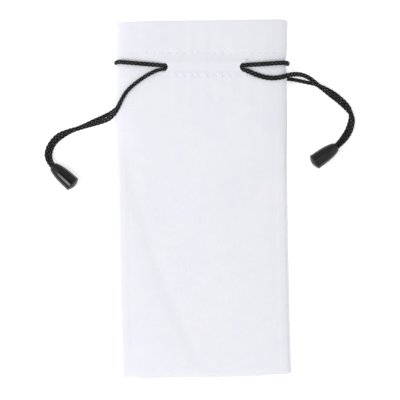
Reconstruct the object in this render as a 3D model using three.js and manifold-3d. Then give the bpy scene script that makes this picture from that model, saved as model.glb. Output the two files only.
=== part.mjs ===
// Soft drawstring pouch for a pair of glasses, lying flat on its back panel.
// Millimetres. +X to the right, +Y towards the mouth, +Z up from the table.
import * as THREE from 'three';
import * as BufferGeometryUtils from 'three/addons/utils/BufferGeometryUtils.js';
import Module from 'manifold-3d';

const wasm = await Module();
wasm.setup();

// ---- driving dimensions ----
const pouchLength = 180;
const pouchHalfWidth = 43.3;
const panelThickness = 0.6;
const facingThickness = 0.5;
const seamGap = 0.3;
const layerGap = 0.3;

const bellyCrown = 9.3;
const mouthCrown = 10.05;
const mouthLift = 2.85;
const bellySeamHeight = 2.8;
const mouthSeamHeight = 6.45;
const rampStart = 16;
const rampEnd = 46;
const sideRoundness = 5;
const restHalfWidth = 0.4;
const restRoundness = 3;
const bottomRoundness = 8;

const channelLow = 62.4;
const channelHigh = 73.8;
const channelTilt = 0.016;
const facingBottom = 59.5;
const edgeNip = 1.0;
const edgeNipAt = 69.3;
const edgeNipSpread = 4;

const slitInner = 16.9;
const slitOuter = 20.5;
const slitLow = 63.85;
const slitHigh = 69.05;
const archRise = 2.8;

const cordDiameter = 1.9;
const cordSides = 8;
const laneLow = 65.3;
const laneHigh = 67.5;
const laneHeight = 10.85;
const crossingPlateau = 8;
const crossingEnd = 12;
const crossingSquash = 0.5;
const crossingOffset = 0.68;

const bellLength = 13.8;
const neckRadius = 2.25;
const baseRadius = 4.08;
const bellTilt = THREE.MathUtils.degToRad(6.4);
const neckHeight = 3.08;

const threadHeight = 0.25;
const threadWidth = 0.6;
const seamThread = 0.4;

// ---- materials ----
const cloth = new THREE.MeshStandardMaterial({ color: 0xeef0f7, roughness: 0.92, metalness: 0 });
const thread = new THREE.MeshStandardMaterial({ color: 0xf4f5fa, roughness: 0.8, metalness: 0 });
const braid = new THREE.MeshStandardMaterial({ color: 0x1b1b1e, roughness: 0.75, metalness: 0 });
const plastic = new THREE.MeshStandardMaterial({ color: 0x141416, roughness: 0.3, metalness: 0 });

// ---- the pouch's outer form ----
const bottomEnd = -pouchLength / 2;
const topEnd = pouchLength / 2;
const ramp = (y) => THREE.MathUtils.smoothstep(y, rampStart, rampEnd);
const sidewaysFullness = (u) => Math.sqrt(Math.max(0, 1 - Math.abs(u) ** sideRoundness));

// The back panel lies flat on the table over its middle and rolls up to the side seams.
function restFullness(u) {
  const past = Math.max(0, Math.abs(u) - restHalfWidth) / (1 - restHalfWidth);
  return Math.sqrt(Math.max(0, 1 - past ** restRoundness));
}

function halfWidth(y) {
  return pouchHalfWidth - edgeNip * Math.exp(-(((y - edgeNipAt) / edgeNipSpread) ** 2));
}

function endFullness(y) {
  if (y >= 0) return 1;
  return Math.sqrt(Math.max(0, 1 - (y / bottomEnd) ** bottomRoundness));
}

function seamHeight(y) {
  const flat = seamGap / 2 + panelThickness;
  const full = THREE.MathUtils.lerp(bellySeamHeight, mouthSeamHeight, ramp(y));
  return flat + (full - flat) * endFullness(y);
}

// The cloth between the slits stands off the facing to make room for the cords.
function arch(x, y) {
  const across = 1 - THREE.MathUtils.smoothstep(Math.abs(x), slitInner, slitOuter);
  const lower = THREE.MathUtils.clamp((y - channelLow - 0.5) / (slitLow - channelLow - 0.5), 0, 1);
  const upper = THREE.MathUtils.clamp((channelHigh - 0.5 - y) / (channelHigh - 0.5 - slitHigh), 0, 1);
  return archRise * across * Math.min(lower, upper);
}

function frontTop(x, y) {
  const edge = seamHeight(y) + seamGap / 2 + panelThickness;
  const fullEdge = THREE.MathUtils.lerp(bellySeamHeight, mouthSeamHeight, ramp(y))
    + seamGap / 2 + panelThickness;
  const rise = THREE.MathUtils.lerp(bellyCrown, mouthCrown, ramp(y)) - fullEdge;
  return edge + rise * endFullness(y) * sidewaysFullness(x / halfWidth(y));
}

function backBottom(x, y) {
  const edge = seamHeight(y) - seamGap / 2 - panelThickness;
  const drop = edge - mouthLift * ramp(y);
  return edge - drop * restFullness(x / halfWidth(y));
}

// The cord channel is sewn a little askew of the mouth: lower on the right than on the left.
function askew(x, y) {
  const inChannel = THREE.MathUtils.smoothstep(y, 59.5, 61.9) - THREE.MathUtils.smoothstep(y, 75, 84);
  return y - channelTilt * x * inChannel;
}

// ---- sheets: a grid of cells, shaped by where each corner goes ----
function steps(from, to, count) {
  return Array.from({ length: count + 1 }, (_, i) => from + ((to - from) * i) / count);
}

function sheet(us, ys, place, bottom, thickness) {
  const geometry = new THREE.BoxGeometry(2, 2, 2, us.length - 1, ys.length - 1, 1);
  const position = geometry.attributes.position;
  for (let i = 0; i < position.count; i += 1) {
    const u = us[Math.round(((position.getX(i) + 1) / 2) * (us.length - 1))];
    const y = ys[Math.round(((position.getY(i) + 1) / 2) * (ys.length - 1))];
    const x = place(u, y);
    const z = bottom(x, y) + (position.getZ(i) > 0 ? thickness : 0);
    position.setXYZ(i, x, askew(x, y), z);
  }
  return solidOnly(geometry);
}

function solidOnly(geometry) {
  geometry.deleteAttribute('normal');
  geometry.deleteAttribute('uv');
  return BufferGeometryUtils.mergeVertices(geometry, 1e-5);
}

function toSolid(geometry) {
  const merged = solidOnly(geometry);
  const vertProperties = new Float32Array(merged.attributes.position.array);
  const triVerts = new Uint32Array(merged.index.array);
  return new wasm.Manifold(new wasm.Mesh({ numProp: 3, vertProperties, triVerts }));
}

function fromSolid(solid) {
  const mesh = solid.getMesh();
  const geometry = new THREE.BufferGeometry();
  geometry.setAttribute('position', new THREE.BufferAttribute(mesh.vertProperties, 3));
  geometry.setIndex(new THREE.BufferAttribute(mesh.triVerts, 1));
  return geometry;
}

// Columns across the panel: even in the middle, closer where the sides roll over.
const middleColumns = [0, 5.6, 11.2, slitInner, slitOuter, 26, 31.5, 35.5, 38.5, 40.6, 42];
const panelColumns = [...middleColumns.slice(1).reverse().map((x) => -x), ...middleColumns];
const edgeColumns = [-1, ...panelColumns.map((x) => x / pouchHalfWidth), 1];
const bodyRows = [...steps(bottomEnd, -84, 3), ...steps(-78, rampStart, 9), ...steps(22, 58, 6)];
const mouthRows = [
  channelLow - 0.5, channelLow + 0.5, slitLow, slitHigh, 72,
  channelHigh - 0.5, 80, 85, topEnd,
];

function panelGeometry(bottom) {
  const across = (u, y) => u * halfWidth(y);
  return sheet(edgeColumns, [...bodyRows, ...mouthRows], across, bottom, panelThickness);
}

function cutSlits(panel, z) {
  let solid = toSolid(panel);
  for (const side of [-1, 1]) {
    const slit = new THREE.BoxGeometry(slitOuter - slitInner, slitHigh - slitLow, 12);
    const x = (side * (slitInner + slitOuter)) / 2;
    slit.translate(x, askew(x, (slitLow + slitHigh) / 2), z);
    solid = solid.subtract(toSolid(slit));
  }
  return fromSolid(solid);
}

function frontPanel() {
  const panel = panelGeometry((x, y) => frontTop(x, y) + arch(x, y) - panelThickness);
  return new THREE.Mesh(cutSlits(panel, mouthCrown), cloth);
}

function backPanel() {
  const panel = panelGeometry((x, y) => backBottom(x, y) - arch(x, y));
  return new THREE.Mesh(cutSlits(panel, mouthLift), cloth);
}

// The mouth hem is folded in: its inner layer runs behind the cord channel.
function facing(bottom) {
  const columns = edgeColumns.slice(2, -2);
  const rows = steps(facingBottom, topEnd - 0.4, 6);
  const geometry = sheet(columns, rows, (u, y) => u * halfWidth(y), bottom, facingThickness);
  return new THREE.Mesh(geometry, cloth);
}

function frontFacing() {
  return facing((x, y) => frontTop(x, y) - panelThickness - layerGap - facingThickness);
}

function backFacing() {
  return facing((x, y) => backBottom(x, y) + panelThickness + layerGap);
}

// ---- threads ----
function stitchRow(y, bottom) {
  const columns = panelColumns.filter((x) => Math.abs(x) < 41);
  const rows = [y - threadWidth / 2, y + threadWidth / 2];
  return new THREE.Mesh(sheet(columns, rows, (u) => u, bottom, threadHeight), thread);
}

function frontRow(y) {
  return stitchRow(y, (x, rowY) => frontTop(x, rowY) + layerGap - 0.05);
}

function backRow(y) {
  return stitchRow(y, (x, rowY) => backBottom(x, rowY) - layerGap + 0.05 - threadHeight);
}

function sideSeamThread(side) {
  const columns = [pouchHalfWidth - 2.2, pouchHalfWidth - 2.2 + seamThread];
  const rows = [...steps(-86, rampStart, 12), ...steps(22, 58, 6)];
  const bottom = (x, y) => seamHeight(y) - seamThread / 2;
  const ordered = side < 0 ? columns.map((x) => -x).reverse() : columns;
  return new THREE.Mesh(sheet(ordered, rows, (u) => u, bottom, seamThread), thread);
}

function bottomSeamThread() {
  const rows = [-88.4, -88.4 + seamThread];
  const bottom = (x, y) => seamHeight(y) - seamThread / 2;
  return new THREE.Mesh(sheet(steps(-38, 38, 8), rows, (u) => u, bottom, seamThread), thread);
}

// ---- cords ----
// Each drawcord leaves its bell as two tails, enters the front and the back slit on its
// own side, runs through both channels and wraps round the far edge of the pouch.
const middle = mouthSeamHeight;

const leftFrontTail = [
  [-19.3, 65.6, 11.15], [-22.3, 65.25, 11.5], [-26, 63.8, 11.75], [-29.6, 61.75, 11.8],
  [-32.7, 59.65, 11.7], [-35.7, 57.3, 11.4], [-38.5, 54.5, 10.9], [-40.8, 50.9, 10.2],
  [-42.7, 47.3, 9.3], [-44.7, 44.2, 7.9], [-47.2, 41.7, 6.1], [-50.9, 40.2, 4.3],
  [-55.3, 39.05, 3.3], [-59.7, 37.95, 3.15], [-65.1, 36.45, 3.15], [-69.6, 35.25, 2.95],
  [-73.8, 33.45, 2.35], [-77, 30.3, 2.2], [-79, 27.1, 1.6], [-79.75, 23.6, 1.4],
  [-79.2, 20.9, 2], [-77.45, 17.55, 2.9],
];
const leftBackTail = [
  [-19.3, 65.6, 1.75], [-23, 64.8, 1.3], [-28, 62.4, 1], [-32.6, 58.9, 1],
  [-36.8, 54.5, 1], [-40.8, 49.9, 1], [-46, 45.15, 1], [-50.8, 42.7, 1],
  [-55.3, 40.8, 1], [-59.7, 38.75, 1], [-65.1, 36.45, 1], [-69.6, 34.25, 1],
  [-73.5, 31.55, 1], [-75.7, 29.3, 1], [-76.95, 26.9, 1], [-77.6, 23.55, 1.2],
  [-77.05, 21.2, 2], [-75.85, 18.95, 2.9],
];
const rightFrontTail = [
  [19.3, 65, 11.15], [22.3, 64.4, 11.5], [26.5, 62.65, 11.75], [31, 61.1, 11.7],
  [35.5, 60.5, 11.45], [40, 60.95, 10.75], [43.4, 61.8, 9.4], [46.5, 62.4, 7.3],
  [50.4, 62.2, 5], [54, 60.85, 3.6], [56.9, 58.7, 3.15], [59.1, 56.65, 3.15],
  [61.7, 54.6, 2.8], [65.6, 51.3, 1.4], [69.6, 48, 1.4], [73.2, 44.6, 2.5],
  [75.3, 41.9, 3.15], [76.1, 39, 2.8], [75.9, 36.4, 2.15], [75, 33.2, 1.4],
  [72.3, 28.9, 1.6], [68.35, 24.95, 2.9],
];
const rightBackTail = [
  [19.3, 65, 1.75], [23.5, 64.3, 1.3], [28.5, 62.6, 1], [34, 61.4, 1],
  [39.4, 60.75, 1], [44.4, 60.35, 1], [48.6, 59.6, 1], [52.8, 58.6, 1],
  [56.6, 57.75, 1], [59.3, 56.8, 1], [62.9, 55.1, 1], [67.4, 52.6, 1],
  [71.4, 49.15, 1], [74.2, 45.65, 1], [75.3, 42.4, 1], [75.1, 39.3, 1],
  [74.05, 36.1, 1], [72.65, 33.1, 1], [70.4, 30.1, 1.6], [67.2, 26.7, 2.9],
];

// Half of a loop, from a slit on the cord's own side to the far edge, side = +1 for the
// cord whose tails are on the left.
function frontRun(side, wrapY) {
  const climb = wrapY - laneHigh;
  return [
    [-19, laneLow, 11.15], [-15.5, laneLow, 10.95], [-12, laneLow, laneHeight],
    [-8, laneLow, laneHeight], [-4, laneLow + 0.4, laneHeight],
    [0, (laneLow + laneHigh) / 2, laneHeight], [4, laneHigh - 0.4, laneHeight],
    [8, laneHigh, laneHeight], [12, laneHigh, laneHeight], [15.5, laneHigh, 10.95],
    [20.5, laneHigh, 11.35], [25.5, laneHigh + 0.18 * climb, 11.4],
    [30.5, laneHigh + 0.42 * climb, 11.3], [35, laneHigh + 0.66 * climb, 11.05],
    [38.5, laneHigh + 0.85 * climb, 10.7], [41.5, wrapY, 10],
    [43.5, wrapY - 0.1, 8.5], [44.1, wrapY - 0.25, middle],
  ].map(([x, y, z]) => [side * x, y - channelTilt * side * x, z]);
}

function loopRoute(side, wrapY) {
  const front = frontRun(side, wrapY);
  const back = front.slice(0, -1).reverse();
  return [...front, ...back.map(([x, y, z]) => [x, y, 2 * middle - z])];
}

function cordTube(route, stepCount) {
  const section = new THREE.Shape();
  for (let i = 0; i < cordSides; i += 1) {
    const angle = ((i + 0.5) * 2 * Math.PI) / cordSides;
    const point = [(Math.cos(angle) * cordDiameter) / 2, (Math.sin(angle) * cordDiameter) / 2];
    if (i === 0) section.moveTo(...point);
    else section.lineTo(...point);
  }
  const path = new THREE.CatmullRomCurve3(route.map((p) => new THREE.Vector3(...p)));
  return new THREE.ExtrudeGeometry(section, { steps: stepCount, extrudePath: path });
}

// Where the two cords cross inside the channel they lie on each other, pressed flat.
function pressCrossing(geometry, side) {
  const position = geometry.attributes.position;
  for (let i = 0; i < position.count; i += 1) {
    const pressed = 1 - THREE.MathUtils.smoothstep(
      Math.abs(position.getX(i)), crossingPlateau, crossingEnd);
    const z = position.getZ(i);
    const outward = z > middle ? 1 : -1;
    const level = middle + outward * (laneHeight - middle);
    const squashed = (z - level) * (1 - (1 - crossingSquash) * pressed);
    position.setZ(i, level + squashed + outward * side * crossingOffset * pressed);
  }
  return geometry;
}

function cordTail(route) {
  return new THREE.Mesh(cordTube(route, 22), braid);
}

function cordLoop(side, wrapY) {
  return new THREE.Mesh(pressCrossing(cordTube(loopRoute(side, wrapY), 40), side), braid);
}

// ---- cord ends: a bell-shaped shell, the plug that closes it and the knot it hides ----
function bellRadius(y) {
  const along = y / bellLength;
  const full = 0.8 * (1 - (1 - along) ** 4) + 0.2 * along;
  return neckRadius + (baseRadius - neckRadius) * full;
}

function lathe(profile, material) {
  const points = profile.map(([radius, y]) => new THREE.Vector2(radius, y));
  return new THREE.Mesh(new THREE.LatheGeometry(points, 20), material);
}

function bellShell() {
  const outer = steps(0.4, bellLength, 8).map((y) => [bellRadius(y), y]);
  const inner = steps(2.2, bellLength, 6).reverse().map((y) => [bellRadius(y) - 0.85, y]);
  const neck = [[1.35, 1.6], [1.35, 0], [neckRadius - 0.4, 0]];
  const loop = [...outer, ...inner, ...neck];
  return lathe([...loop, loop[0]], plastic);
}

function bellPlug() {
  const flange = bellLength + 0.3;
  return lathe([
    [0, bellLength - 2.2], [2.7, bellLength - 2.2], [2.8, flange],
    [3.75, flange], [3.7, flange + 0.4], [2.8, flange + 0.95], [1.5, flange + 1.2],
    [0, flange + 1.3],
  ], plastic);
}

function cordKnot() {
  const ball = steps(-0.9, 1.2, 6).map((angle) => [2.2 * Math.cos(angle), 6.4 + 2.2 * Math.sin(angle)]);
  return lathe([[0, 0.1], [1.05, 0.1], [1.05, 4.2], ...ball, [0, 8.6]], braid);
}

function cordEnd(side, neckX, neckY, aimX, aimY) {
  const name = side < 0 ? 'left' : 'right';
  const end = new THREE.Group();
  const axis = new THREE.Vector3(aimX - neckX, aimY - neckY, 0).normalize();
  axis.multiplyScalar(Math.cos(bellTilt)).setZ(Math.sin(bellTilt));
  end.quaternion.setFromUnitVectors(new THREE.Vector3(0, 1, 0), axis);
  end.position.set(neckX, neckY, neckHeight);
  end.add(named(bellShell(), `${name}_bell_shell`));
  end.add(named(bellPlug(), `${name}_bell_plug`));
  end.add(named(cordKnot(), `${name}_cord_knot`));
  return end;
}

// ---- assembly ----
function named(mesh, name) {
  mesh.name = name;
  return mesh;
}

const pouch = new THREE.Group();
pouch.add(
  named(frontPanel(), 'front_panel'),
  named(backPanel(), 'back_panel'),
  named(frontFacing(), 'front_hem_facing'),
  named(backFacing(), 'back_hem_facing'),
  named(frontRow(channelHigh), 'front_upper_stitch_row'),
  named(frontRow(channelLow), 'front_lower_stitch_row'),
  named(backRow(channelHigh), 'back_upper_stitch_row'),
  named(backRow(channelLow), 'back_lower_stitch_row'),
  named(sideSeamThread(-1), 'left_side_seam_thread'),
  named(sideSeamThread(1), 'right_side_seam_thread'),
  named(bottomSeamThread(), 'bottom_seam_thread'),
);

const cords = new THREE.Group();
cords.add(
  named(cordTail(leftFrontTail), 'left_cord_front_tail'),
  named(cordTail(leftBackTail), 'left_cord_back_tail'),
  named(cordLoop(1, 68.8), 'left_cord_loop'),
  named(cordTail(rightFrontTail), 'right_cord_front_tail'),
  named(cordTail(rightBackTail), 'right_cord_back_tail'),
  named(cordLoop(-1, 69.2), 'right_cord_loop'),
  cordEnd(-1, -76.4, 18, -66.4, 8.6),
  cordEnd(1, 67.5, 25.6, 55.8, 17.5),
);

const glassesPouch = new THREE.Group();
glassesPouch.add(pouch, cords);

export default glassesPouch;
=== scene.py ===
"""Looks for the soft drawstring glasses pouch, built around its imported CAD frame."""
import math

import bpy
import numpy as np
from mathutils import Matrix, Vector


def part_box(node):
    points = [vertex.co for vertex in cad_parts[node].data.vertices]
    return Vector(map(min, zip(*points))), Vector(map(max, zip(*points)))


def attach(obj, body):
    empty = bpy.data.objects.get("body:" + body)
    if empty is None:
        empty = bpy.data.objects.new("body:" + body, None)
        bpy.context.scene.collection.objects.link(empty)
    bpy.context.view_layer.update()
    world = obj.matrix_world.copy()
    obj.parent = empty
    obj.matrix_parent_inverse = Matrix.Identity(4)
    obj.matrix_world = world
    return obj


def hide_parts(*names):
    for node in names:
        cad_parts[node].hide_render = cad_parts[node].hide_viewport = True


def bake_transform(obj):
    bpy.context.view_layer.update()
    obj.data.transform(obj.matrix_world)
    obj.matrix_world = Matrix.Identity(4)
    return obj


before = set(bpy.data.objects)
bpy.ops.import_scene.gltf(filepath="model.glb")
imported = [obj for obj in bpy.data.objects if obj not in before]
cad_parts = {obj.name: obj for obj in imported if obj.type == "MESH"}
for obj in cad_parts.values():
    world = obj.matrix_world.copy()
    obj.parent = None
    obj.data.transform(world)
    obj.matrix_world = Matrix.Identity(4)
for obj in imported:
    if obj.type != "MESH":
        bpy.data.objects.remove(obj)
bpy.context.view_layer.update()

# Lengths below are in millimetres, as on the pattern; MM turns them into the frame's metres.
MM = 0.001
PANEL_LOW, PANEL_HIGH = (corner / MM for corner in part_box("front_panel"))
HALF_WIDTH = PANEL_HIGH.x
BOTTOM = PANEL_LOW.y
MOUTH = PANEL_HIGH.y
FACING_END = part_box("front_hem_facing")[0].y / MM
UPPER_ROW = sum(v.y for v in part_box("front_upper_stitch_row")) / 2 / MM
LOWER_ROW = sum(v.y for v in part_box("front_lower_stitch_row")) / 2 / MM

CLOTH = 0.45
# Heights of the cloth over the table, in the body (belly) and at the mouth.
BELLY_CROWN = 8.6
MOUTH_CROWN = 10.2
MOUTH_LIFT = 2.6
BELLY_SEAM = 2.8
MOUTH_SEAM = 6.45
RAMP = (16, 46)
SIDE_ROUNDNESS = 4.4
WALL, WALL_SHARE = 1.5, 0.68
REST_HALF = 0.4
# The side seams' two turned-in columns: how far in each lies, and how much nearer the other panel.
SEAM_TURNS = ((0.45, -0.02), (1.4, 0.04))
TURNED = len(SEAM_TURNS)
# The cords nip the pouch's sides in a little.
NIP, NIP_AT, NIP_SPREAD = 0.7, 69.3, 4.0

STITCH_PITCH = 3.85
COLUMN = STITCH_PITCH / 6
SLIT_COLUMNS = {-1: 27, 1: 31}
SLIT = (63.7, 69.2)
SLIT_MIDDLE = 66.45
CHANNEL_TILT = 0.016
ARCH = 2.1
BACK_ARCH = 2.05
CHANNEL_CALM = 0.7
HEM_GAP = 0.15
FULL_LENGTH = 0.5

CORD = 1.9
TOUCHING = 1.86
SLIT_CLOSING = 0.22

# Lights: strengths, and the places and sizes of the lamps in metres.
TENT = 1.48
OVERHEAD_FALL = ((0.70, 1), (0.94, 0.22))
SIDE_FALLS = (("X", 0.3, 0.95, TENT, TENT * 0.78), ("Y", 0.15, 0.8, 1, 0.45))
LAMPS = (
    ("softbox", (-0.61, -0.22, 0.67), (0.38, 0.42), 4.0),
    ("top_panel", (0.28, 0.19, 0.94), (0.22, 0.3), 0.45),
)
FLOOR_GLOW = 0.42
SIMULATION_SCALE = 10


# ---------------------------------------------------------------- small tools
def smooth(a, b, v):
    """0 before a, 1 after b, and an even S between them."""
    t = np.clip((np.asarray(v, float) - a) / (b - a), 0, 1)
    return t * t * (3 - 2 * t)


def mix(a, b, t):
    return a + (b - a) * t


def unit(v):
    return v / np.maximum(np.linalg.norm(v, axis=-1, keepdims=True), 1e-9)


def spaced(a, b, step):
    """Numbers from a up to, and not including, b, about a step apart."""
    return list(np.linspace(a, b, max(1, round((b - a) / step)), endpoint=False))


def new_object(name, verts, faces, material):
    mesh = bpy.data.meshes.new(name)
    mesh.from_pydata([tuple(v) for v in np.asarray(verts, float) * MM], [], faces)
    mesh.polygons.foreach_set("use_smooth", [True] * len(mesh.polygons))
    if material:
        mesh.materials.append(material)
    mesh.update()
    obj = bpy.data.objects.new(name, mesh)
    bpy.context.collection.objects.link(obj)
    return obj


def grid_faces(rows, columns, wrap=False):
    across = columns if wrap else columns - 1
    faces = []
    for j in range(rows - 1):
        for i in range(across):
            k = (i + 1) % columns
            faces.append((j * columns + i, j * columns + k, (j + 1) * columns + k, (j + 1) * columns + i))
    return faces


# ---------------------------------------------------------------- camera
def make_camera():
    """Straight above, turned a degree, with the pouch a little right of and above the middle."""
    view_width, at_height = 203.05, 3
    lens = 180
    roll = math.radians(-0.93)
    shown = (2.08, 0.41)
    data = bpy.data.cameras.new("camera")
    data.lens = lens
    data.sensor_width = 36
    data.clip_end = 20
    camera = bpy.data.objects.new("camera", data)
    right = Vector((math.cos(roll), math.sin(roll)))
    up = Vector((-math.sin(roll), math.cos(roll)))
    centre = -(shown[0] * right + shown[1] * up)
    height = view_width * lens / data.sensor_width + at_height
    camera.location = (centre.x * MM, centre.y * MM, height * MM)
    camera.rotation_euler = (0, 0, roll)
    bpy.context.collection.objects.link(camera)
    bpy.context.scene.camera = camera


# ---------------------------------------------------------------- materials
class Nodes:
    """A short way to write a procedural material."""

    def __init__(self, name, **sockets):
        self.material = bpy.data.materials.new(name)
        self.material.use_nodes = True
        self.tree = self.material.node_tree
        self.shader = self.tree.nodes["Principled BSDF"]
        for socket, value in sockets.items():
            self.shader.inputs[socket.replace("_", " ")].default_value = value
        self.place = self.add("ShaderNodeTexCoord").outputs["Object"]

    def add(self, kind, **settings):
        node = self.tree.nodes.new(kind)
        for name, value in settings.items():
            setattr(node, name, value)
        return node

    def link(self, source, target):
        self.tree.links.new(source, target)

    def noise(self, scale, detail=3, roughness=0.5, vector=None):
        node = self.add("ShaderNodeTexNoise")
        node.inputs["Scale"].default_value = scale
        node.inputs["Detail"].default_value = detail
        node.inputs["Roughness"].default_value = roughness
        self.link(vector or self.place, node.inputs["Vector"])
        return node.outputs["Fac"]

    def wave(self, scale, direction, distortion=0.0, detail_scale=1.0):
        node = self.add("ShaderNodeTexWave", bands_direction=direction)
        node.inputs["Scale"].default_value = scale
        node.inputs["Distortion"].default_value = distortion
        node.inputs["Detail Scale"].default_value = detail_scale
        self.link(self.place, node.inputs["Vector"])
        return node.outputs["Fac"]

    def math(self, operation, a, b):
        node = self.add("ShaderNodeMath", operation=operation)
        for socket, value in zip(node.inputs, (a, b)):
            if isinstance(value, (int, float)):
                socket.default_value = value
            else:
                self.link(value, socket)
        return node.outputs[0]

    def ramp(self, value, *stops):
        node = self.add("ShaderNodeValToRGB")
        ramp = node.color_ramp
        for element, (position, colour) in zip((ramp.elements[0], ramp.elements[1]), (stops[0], stops[-1])):
            element.position = position
            element.color = (*colour, 1)
        for position, colour in stops[1:-1]:
            ramp.elements.new(position).color = (*colour, 1)
        self.link(value, node.inputs["Fac"])
        return node.outputs["Color"]

    def bump(self, height, strength, distance):
        node = self.add("ShaderNodeBump")
        node.inputs["Strength"].default_value = strength
        node.inputs["Distance"].default_value = distance
        self.link(height, node.inputs["Height"])
        self.link(node.outputs["Normal"], self.shader.inputs["Normal"])

    def colour(self, value):
        self.link(value, self.shader.inputs["Base Color"])

    def roughness(self, value, low, high):
        node = self.add("ShaderNodeMapRange")
        node.inputs["To Min"].default_value = low
        node.inputs["To Max"].default_value = high
        self.link(value, node.inputs["Value"])
        self.link(node.outputs[0], self.shader.inputs["Roughness"])


def microfibre():
    """Brushed white microfibre: a fine knit under a short nap, faintly cool, with soft mottling."""
    m = Nodes("microfibre", Sheen_Weight=0.25, Sheen_Roughness=0.45, Specular_IOR_Level=0.15)
    mottle = m.noise(55, detail=4, roughness=0.6)
    fibre = m.noise(2600, detail=3, roughness=0.7)
    blotch = m.noise(160, detail=3, roughness=0.6)
    tone = m.math("ADD", m.math("MULTIPLY", mottle, 0.6), m.math("MULTIPLY", blotch, 0.4))
    tone = m.math("ADD", tone, m.math("MULTIPLY", fibre, 0.35))
    m.colour(m.ramp(
        tone,
        (0.35, (0.755, 0.755, 0.828)),
        (0.65, (0.785, 0.783, 0.843)),
        (0.95, (0.81, 0.805, 0.85)),
    ))
    knit = m.math("MULTIPLY", m.wave(520, "X", 2.5, 2.0), m.wave(430, "Y", 2.5, 2.0))
    nap = m.math("ADD", m.math("MULTIPLY", knit, 0.45), m.math("MULTIPLY", fibre, 0.8))
    nap = m.math("ADD", nap, m.math("MULTIPLY", blotch, 0.5))
    m.bump(nap, 0.5, 0.0002)
    m.roughness(fibre, 0.82, 0.98)
    return m.material


def sewing_thread():
    m = Nodes("sewing_thread", Sheen_Weight=0.2, Specular_IOR_Level=0.3)
    twist = m.wave(900, "DIAGONAL", 1.0)
    lint = m.noise(1500)
    m.colour(m.ramp(twist, (0.1, (0.74, 0.75, 0.80)), (0.9, (0.86, 0.865, 0.90))))
    m.bump(m.math("ADD", twist, m.math("MULTIPLY", lint, 0.5)), 0.5, 0.00012)
    m.roughness(lint, 0.6, 0.8)
    return m.material


def braided_cord():
    """Charcoal polyester braid: dull black yarns; the raised yarn crowns are painted paler as a painted
    highlight, and the hollows between them near black as painted shade.
    """
    m = Nodes("braided_cord", Sheen_Weight=0.03, Sheen_Roughness=0.5, Specular_IOR_Level=0.15)
    crown = m.add("ShaderNodeAttribute", attribute_name=CROWN_HIGHLIGHT).outputs["Fac"]
    yarn = m.noise(1400, detail=4, roughness=0.75)
    patch = m.noise(170, detail=2)
    tone = m.math("ADD", m.math("MULTIPLY", crown, 0.55), m.math("MULTIPLY", yarn, 0.6))
    tone = m.math("ADD", tone, m.math("MULTIPLY", patch, 0.15))
    # Crowns paler and hollows darker: painted highlight and painted shade over the braid's relief, with
    # random yarn and patch tone mixed in.
    m.colour(m.ramp(
        tone,
        (0.50, (0.002, 0.002, 0.0025)),
        (0.70, (0.007, 0.007, 0.008)),
        (0.83, (0.055, 0.055, 0.058)),
        (0.94, (0.19, 0.19, 0.2)),
    ))
    m.bump(m.noise(3200, detail=2, roughness=0.8), 0.5, 0.0001)
    m.roughness(yarn, 0.5, 0.75)
    return m.material


def bell_plastic(name, gloss):
    """Black injection-moulded plastic: glossy, with a faint moulded skin and light rubbing."""
    m = Nodes(name, Specular_IOR_Level=0.38)
    skin = m.noise(600, detail=3, roughness=0.6)
    rub = m.noise(240, detail=4, roughness=0.65)
    m.colour(m.ramp(rub, (0.35, (0.002, 0.002, 0.0025)), (0.75, (0.005, 0.005, 0.006))))
    m.bump(m.math("ADD", skin, m.math("MULTIPLY", m.noise(2600), 0.4)), 0.2, 0.00005)
    m.roughness(rub, gloss - 0.05, gloss + 0.08)
    return m.material


def pale_floor():
    """White paper sweep, lit a little past white so that only the nearest shade shows."""
    m = Nodes("pale_floor", Specular_IOR_Level=0.1)
    speck = m.noise(90, detail=2)
    m.colour(m.ramp(speck, (0.3, (0.93, 0.93, 0.935)), (0.7, (0.95, 0.95, 0.955))))
    m.roughness(speck, 0.85, 0.95)
    m.shader.inputs["Emission Color"].default_value = (1, 1, 1, 1)
    m.shader.inputs["Emission Strength"].default_value = FLOOR_GLOW
    return m.material


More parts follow.
